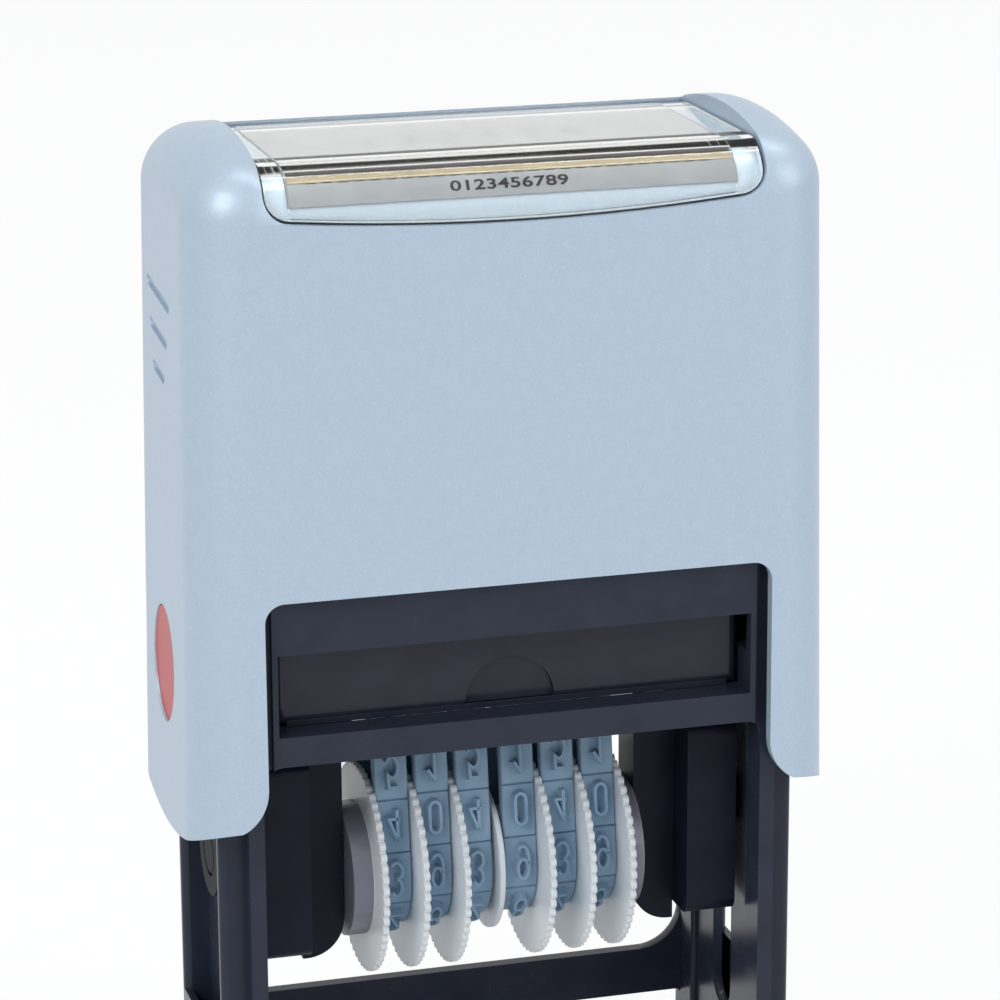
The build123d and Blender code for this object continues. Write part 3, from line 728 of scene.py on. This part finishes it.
shape = bmesh.new()
rim_line_top = window_inset + 0.12 * mm
rim_line_near = 0.01 * mm
rim_line_far = rim_line_width - rim_line_near
rims = []
for inward, depth in ((rim_line_near, rim_line_top), (rim_line_far, rim_line_top),
                      (rim_line_far, end_thickness), (rim_line_near, end_thickness)):
    rims.append(grid_rim(window_grid(shape, inward, lambda across: depth)))
for side in range(4):
    join_rims(shape, rims[side - 1], rims[side])
loose = [vertex for vertex in shape.verts if not vertex.link_faces]
bmesh.ops.delete(shape, geom=loose, context="VERTS")
window_rim_shade = finish_piece("window_rim_shade", shape, 25)
# The rim line's colour is painted shade: near black at the window's ends, pale olive in the middle.
rim_shade_paint, tree, shader = new_material("painted_rim_shade")
mask = texture_in(tree, shader, 0.00010, 0.1, 0.5, 0.1)
rim_shade_tones = two_tone(tree, shader, mask, (0.010, 0.011, 0.020), (0.018, 0.019, 0.032))
near_corner = add_node(tree, "ShaderNodeMapRange")
near_corner.inputs["From Min"].default_value = 12 * mm
near_corner.inputs["From Max"].default_value = 19 * mm
tree.links.new(from_middle(tree), near_corner.inputs["Value"])
paler_middle = add_node(tree, "ShaderNodeMix", data_type="RGBA")
tree.links.new(near_corner.outputs[0], paler_middle.inputs["Factor"])
paler_middle.inputs[6].default_value = (0.19, 0.18, 0.15, 1)
tree.links.new(rim_shade_tones.outputs["Color"], paler_middle.inputs[7])
tree.links.new(paler_middle.outputs[2], shader.inputs["Base Color"])
cover(window_rim_shade, rim_shade_paint)
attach(window_rim_shade, "cap_group")

# Lift yoke: a stiff black moulding clipped under the cap's roof. The carriage hangs from its two
# arms, and the return spring pushes it up.
yoke_plastic, tree, shader = new_material("yoke_plastic")
mask = texture_in(tree, shader, 0.00020, 0.3, 0.55, 0.15)
two_tone(tree, shader, mask, (0.009, 0.010, 0.016), (0.013, 0.014, 0.021))
shader.inputs["Specular IOR Level"].default_value = 0.08
cover(nodes["lift_yoke"], yoke_plastic)
break_edges(nodes["lift_yoke"], 0.15 * mm)

# Return spring: eight turns of hard-drawn steel wire with closed ends, standing on the bay's
# roof and pushing the yoke up.
spring_low, spring_high = (Vector(corner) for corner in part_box("return_spring"))
wire = 0.9 * mm
coil_radius = (spring_high.x - spring_low.x) / 2 - wire / 2
free_height = spring_high.z - spring_low.z
closed_turns = 0.75
free_turns = 6.5
coil_turns = free_turns + 2 * closed_turns
points_per_turn = 28
coil_curve = bpy.data.curves.new("spring_wire", "CURVE")
coil_curve.dimensions = "3D"
coil_curve.bevel_depth = wire / 2
coil_curve.bevel_resolution = 3
coil_curve.use_fill_caps = True
coil = coil_curve.splines.new("NURBS")
point_count = int(coil_turns * points_per_turn) + 1
coil.points.add(point_count - 1)
free_rise = free_height - wire - 2 * closed_turns * wire
for index in range(point_count):
    turns = index / points_per_turn
    free_part = min(max(turns - closed_turns, 0), free_turns)
    closed_part = turns - free_part
    rise = closed_part * wire + free_part / free_turns * free_rise
    coil.points[index].co = (coil_radius * cos(2 * pi * turns), coil_radius * sin(2 * pi * turns),
                             spring_low.z + wire / 2 + rise, 1)
coil.order_u = 3
coil.use_endpoint_u = True
wound = bpy.data.objects.new("spring_wire", coil_curve)
bpy.context.collection.objects.link(wound)
depsgraph = bpy.context.evaluated_depsgraph_get()
spring_mesh = bpy.data.meshes.new_from_object(wound.evaluated_get(depsgraph))
bpy.data.objects.remove(wound)
spring_mesh.name = "coil_spring"
coil_spring = bpy.data.objects.new("coil_spring", spring_mesh)
bpy.context.collection.objects.link(coil_spring)
spring_steel, tree, shader = new_material("spring_steel")
mask = texture_in(tree, shader, 0.00010, 0.3, 0.30, 0.12)
two_tone(tree, shader, mask, (0.42, 0.43, 0.45), (0.55, 0.56, 0.58))
shader.inputs["Metallic"].default_value = 1.0
cover(coil_spring, spring_steel)
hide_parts("return_spring")
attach(coil_spring, "cap_group")
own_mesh(coil_spring)

# Carriage ends: two black blocks on which everything that turns over is built. Wheel axle and
# print bridge are turned steel, pressed in. The pivot pins are steel too, and blackened.
# Darker than the frame's black: painted shade for the blocks that stand deep inside the cap.
carriage_plastic, tree, shader = new_material("carriage_plastic")
mask = texture_in(tree, shader, 0.00018, 0.3, 0.36, 0.12)
two_tone(tree, shader, mask, (0.0085, 0.0085, 0.020), (0.012, 0.012, 0.026))
shader.inputs["Specular IOR Level"].default_value = 0.12
for name in ("carriage_end_left", "carriage_end_right"):
    cover(nodes[name], carriage_plastic)
    break_edges(nodes[name], 0.3 * mm, 3)
turned_steel, tree, shader = new_material("turned_steel")
mask = texture_in(tree, shader, 0.00008, 0.2, 0.22, 0.10)
two_tone(tree, shader, mask, (0.50, 0.51, 0.52), (0.62, 0.63, 0.64))
shader.inputs["Metallic"].default_value = 1.0
for name in ("wheel_axle", "print_bridge"):
    cover(nodes[name], turned_steel)
    break_edges(nodes[name], 0.1 * mm)
blackened_steel, tree, shader = new_material("blackened_steel")
mask = texture_in(tree, shader, 0.00008, 0.2, 0.55, 0.10)
two_tone(tree, shader, mask, (0.009, 0.009, 0.014), (0.014, 0.014, 0.020))
shader.inputs["Specular IOR Level"].default_value = 0.08
for name in ("pivot_pin_left", "pivot_pin_right"):
    cover(nodes[name], blackened_steel)
    break_edges(nodes[name], 0.1 * mm)

# Number wheels: milky white plastic, thin enough for light to come through, with a beaded rim
# for the thumb. The hub beside each disc drives a band. The outermost wheels' drums are coloured dark grey
# as painted shade.
milky_plastic, tree, shader = new_material("milky_plastic")
mask = texture_in(tree, shader, 0.00025, 0.15, 0.36, 0.10)
milky_tones = two_tone(tree, shader, mask, (0.84, 0.90, 0.96), (0.88, 0.94, 0.99))
# Past this distance from the middle the drums turn dark grey: painted shade.
drum_start = 11.62 * mm
on_drum = add_node(tree, "ShaderNodeMath", operation="GREATER_THAN")
on_drum.inputs[1].default_value = drum_start
tree.links.new(from_middle(tree), on_drum.inputs[0])
painted_drum_shade = add_node(tree, "ShaderNodeMix", data_type="RGBA")
tree.links.new(on_drum.outputs[0], painted_drum_shade.inputs["Factor"])
tree.links.new(milky_tones.outputs["Color"], painted_drum_shade.inputs[6])
painted_drum_shade.inputs[7].default_value = (0.24, 0.24, 0.30, 1)
tree.links.new(painted_drum_shade.outputs[2], shader.inputs["Base Color"])
shader.inputs["Subsurface Weight"].default_value = 0.7
shader.inputs["Subsurface Radius"].default_value = (1.0, 0.97, 0.92)
shader.inputs["Subsurface Scale"].default_value = 0.0016
shader.inputs["Transmission Weight"].default_value = 0.15
shader.inputs["IOR"].default_value = 1.5
for name in [f"number_wheel_{number}" for number in range(1, 7)] + ["centre_spacer"]:
    cover(nodes[name], milky_plastic)
    break_edges(nodes[name], 0.08 * mm)

# Type bands: blue-grey rubber belts, moulded with raised numerals that read backwards, and a fine
# line between one numeral and the next. The numerals' flanks are darker rubber, partly ink and
# partly painted shade, and their tops a lighter rubber that is a painted highlight.
band_low, band_high = (Vector(corner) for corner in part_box("number_band_1"))
band_width = band_high.x - band_low.x
band_thickness = 1.05 * mm
type_relief = 0.8 * mm
type_cells = 12
axle_low, axle_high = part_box("wheel_axle")
hub_z = (axle_low[2] + axle_high[2]) / 2
hub_reach = 5.3 * mm
rim_reach = 1.3 * mm
rim_y = 1.65 * mm
rim_z = band_high.z - type_relief - rim_reach
slope_length = hypot(rim_y, rim_z - hub_z)
lean_angle = asin((hub_reach - rim_reach) / slope_length) - atan2(rim_y, rim_z - hub_z)
rim_arc = rim_reach * (pi / 2 - lean_angle)
straight = sqrt(slope_length ** 2 - (hub_reach - rim_reach) ** 2)
hub_arc = hub_reach * (pi + 2 * lean_angle)
band_length = 2 * (rim_y + rim_arc + straight) + hub_arc
cell_length = band_length / type_cells


def round_band(along, lift):
    """Point (y, z) at a length round the band from the middle of its printing face, going down
    the front, and at a height over its outer face."""
    along = along % band_length
    if along > band_length / 2:
        y, z = round_band(band_length - along, lift)
        return -y, z
    if along < rim_y:
        return -along, rim_z + rim_reach + lift
    along -= rim_y
    if along < rim_arc:
        turn = along / rim_reach
        return -rim_y - (rim_reach + lift) * sin(turn), rim_z + (rim_reach + lift) * cos(turn)
    along -= rim_arc
    out_y, out_z = -cos(lean_angle), sin(lean_angle)
    if along < straight:
        start = Vector((-rim_y + rim_reach * out_y, rim_z + rim_reach * out_z))
        end = Vector((hub_reach * out_y, hub_z + hub_reach * out_z))
        point = start.lerp(end, along / straight) + lift * Vector((out_y, out_z))
        return point.x, point.y
    turn = lean_angle - (along - straight) / hub_reach
    return -(hub_reach + lift) * cos(turn), hub_z + (hub_reach + lift) * sin(turn)


numeral_width = 1.00 * mm
numeral_height = 2.80 * mm
numeral_rise = 0.25 * mm
stroke_top = 0.12 * mm
stroke_foot = 0.28 * mm
foot_lift = 0.04 * mm
# The dark film round each numeral's foot is partly ink and partly painted shade.
shade_film_reach = 0.40 * mm
shade_film_lift = 0.012 * mm
shade_film_root = -0.05 * mm
half_section = ((shade_film_reach, shade_film_root), (shade_film_reach, shade_film_lift), (stroke_foot, foot_lift),
                (stroke_top, type_relief))
stroke_section = [(-half, lift) for half, lift in half_section] + list(half_section[::-1])
line_depth = 0.22 * mm
line_half = 0.10 * mm
band_edge = 0.12 * mm
cell_steps = 16
path_step = 0.4 * mm


def arc(centre_u, centre_v, reach_u, reach_v, start, end, count=14):
    """Points along part of an oval, between two angles in degrees."""
    angles = [radians(start + (end - start) * step / count) for step in range(count + 1)]
    return [(centre_u + reach_u * cos(angle), centre_v + reach_v * sin(angle)) for angle in angles]


numeral_strokes = {
    "0": [arc(0.5, 0.78, 0.5, 0.22, 0, 180) + arc(0.5, 0.22, 0.5, 0.22, 180, 360) + [(1.0, 0.78)]],
    "1": [[(0.02, 0.66), (0.62, 1.0), (0.62, 0.0)]],
    "2": [arc(0.5, 0.74, 0.5, 0.26, 165, -25) + [(0.0, 0.0), (1.0, 0.0)]],
    "3": [arc(0.46, 0.76, 0.46, 0.24, 150, -90), arc(0.46, 0.26, 0.54, 0.26, 90, -150)],
    "4": [[(0.74, 0.0), (0.74, 1.0)], [(0.74, 1.0), (0.0, 0.30), (1.0, 0.30)]],
    "5": [[(0.92, 1.0), (0.16, 1.0)] + arc(0.47, 0.34, 0.53, 0.34, 142, -150)],
    "6": [arc(0.5, 0.29, 0.5, 0.29, 0, 360), [(0.0, 0.29)] + arc(0.52, 0.66, 0.52, 0.34, 180, 40)],
    "7": [[(0.0, 1.0), (1.0, 1.0), (0.38, 0.0)]],
    "8": [arc(0.5, 0.77, 0.42, 0.23, -90, 270), arc(0.5, 0.27, 0.5, 0.27, 90, 450)],
    "-": [[(0.15, 0.5), (0.85, 0.5)]],
}
numeral_strokes["9"] = [[(1 - u, 1 - v) for u, v in path] for path in numeral_strokes["6"]]


def finely(points, longest):
    """The same path with no step longer than given."""
    fine = [points[0]]
    for point in points[1:]:
        last = fine[-1]
        count = max(1, round((point - last).length / longest))
        fine += [last.lerp(point, step / count) for step in range(1, count + 1)]
    return fine


def raise_stroke(shape, points, place_at):
    """Adds a raised stroke with sloping flanks along a flat path. Its flanks and a film round its foot
    take the darker rubber, partly ink and partly painted shade, and its top a painted highlight."""
    closed = (points[0] - points[-1]).length < 1e-7
    if closed:
        points = points[:-1]
    count = len(points)
    sections = []
    for index, point in enumerate(points):
        before = point - points[index - 1] if closed or index else points[1] - point
        after = points[(index + 1) % count] - point if closed or index < count - 1 else before
        before = before.normalized()
        after = after.normalized()
        middle = (before + after).normalized()
        across = Vector((-middle.y, middle.x))
        stretch = min(1 / max(middle.dot(before), 0.5), 1.5)
        sections.append([shape.verts.new(place_at(point + across * half * stretch, lift))
                         for half, lift in stroke_section])
    pairs = list(zip(sections, sections[1:] + ([sections[0]] if closed else [])))
    for last, section in pairs:
        for side in range(len(stroke_section)):
            face = shape.faces.new((last[side], last[side - 1], section[side - 1], section[side]))
            face.material_index = 2 if side == len(stroke_section) // 2 else 1
    if not closed:
        for corners in (sections[0], sections[-1]):
            face = shape.faces.new(corners)
            face.material_index = 1


rubber, tree, shader = new_material("band_rubber")
mask = texture_in(tree, shader, 0.00022, 0.35, 0.55, 0.15)
two_tone(tree, shader, mask, (0.200, 0.312, 0.425), (0.265, 0.390, 0.508), 0.30, 0.70)
# Darker rubber for the numerals' flanks and feet: partly ink, partly painted shade.
inked_shade_rubber, tree, shader = new_material("inked_shade_rubber")
mask = texture_in(tree, shader, 0.00022, 0.35, 0.45, 0.15)
two_tone(tree, shader, mask, (0.004, 0.010, 0.018), (0.014, 0.031, 0.047))
# Lighter rubber for the numerals' tops: a painted highlight.
painted_highlight_rubber, tree, shader = new_material("painted_highlight_rubber")
mask = texture_in(tree, shader, 0.00022, 0.35, 0.50, 0.15)
two_tone(tree, shader, mask, (0.300, 0.425, 0.550), (0.370, 0.500, 0.630))
for material in (rubber, inked_shade_rubber, painted_highlight_rubber):
    shader = material.node_tree.nodes["Principled BSDF"]
    shader.inputs["Specular IOR Level"].default_value = 0.25


def type_band(name, centre_x, first_numeral, creep):
    """Band with its belt and raised numerals. The first numeral stands on the printing face, and
    creep is how far the rubber has settled round the loop from there."""
    shape = bmesh.new()
    section = (
        (-band_width / 2, -band_thickness), (band_width / 2, -band_thickness),
        (band_width / 2, -band_edge), (band_width / 2 - band_edge, 0),
        (-band_width / 2 + band_edge, 0), (-band_width / 2, -band_edge))
    rings = []
    for cell in range(type_cells):
        start = (cell + 0.5) * cell_length + creep
        stations = [(start, -line_depth)]
        open_length = cell_length - 2 * line_half
        stations += [(start + line_half + open_length * step / cell_steps, 0)
                     for step in range(cell_steps + 1)]
        for along, dip in stations:
            ring = []
            for across, lift in section:
                y, z = round_band(along, lift + (dip if lift > -band_thickness / 2 else 0))
                ring.append(shape.verts.new((centre_x + across, y, z)))
            rings.append(ring)
    for last, ring in zip(rings, rings[1:] + rings[:1]):
        for side in range(len(section)):
            shape.faces.new((last[side], last[side - 1], ring[side - 1], ring[side]))
    order = "7654321098 -"
    for cell in range(type_cells):
        numeral = order[(cell + order.index(first_numeral)) % type_cells]
        middle = cell * cell_length + creep - numeral_rise

        def place_at(point, lift):
            y, z = round_band(middle + point.y, lift)
            return centre_x + point.x, y, z

        for path in numeral_strokes.get(numeral, []):
            flat = [Vector(((u - 0.5) * numeral_width, (v - 0.5) * numeral_height)) for u, v in path]
            raise_stroke(shape, finely(flat, path_step), place_at)
    band = finish_piece(name, shape, 30)
    cover(band, rubber, inked_shade_rubber, painted_highlight_rubber)
    return band


creeps = (0.80 * mm, 0.45 * mm, 0.60 * mm, 0.50 * mm, 0.55 * mm, 0.35 * mm)
for number, creep in enumerate(creeps, 1):
    low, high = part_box(f"number_band_{number}")
    band = type_band(f"type_band_{number}", (low[0] + high[0]) / 2, "7" if number % 2 else "3", creep)
    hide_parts(f"number_band_{number}")
    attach(band, "carriage")
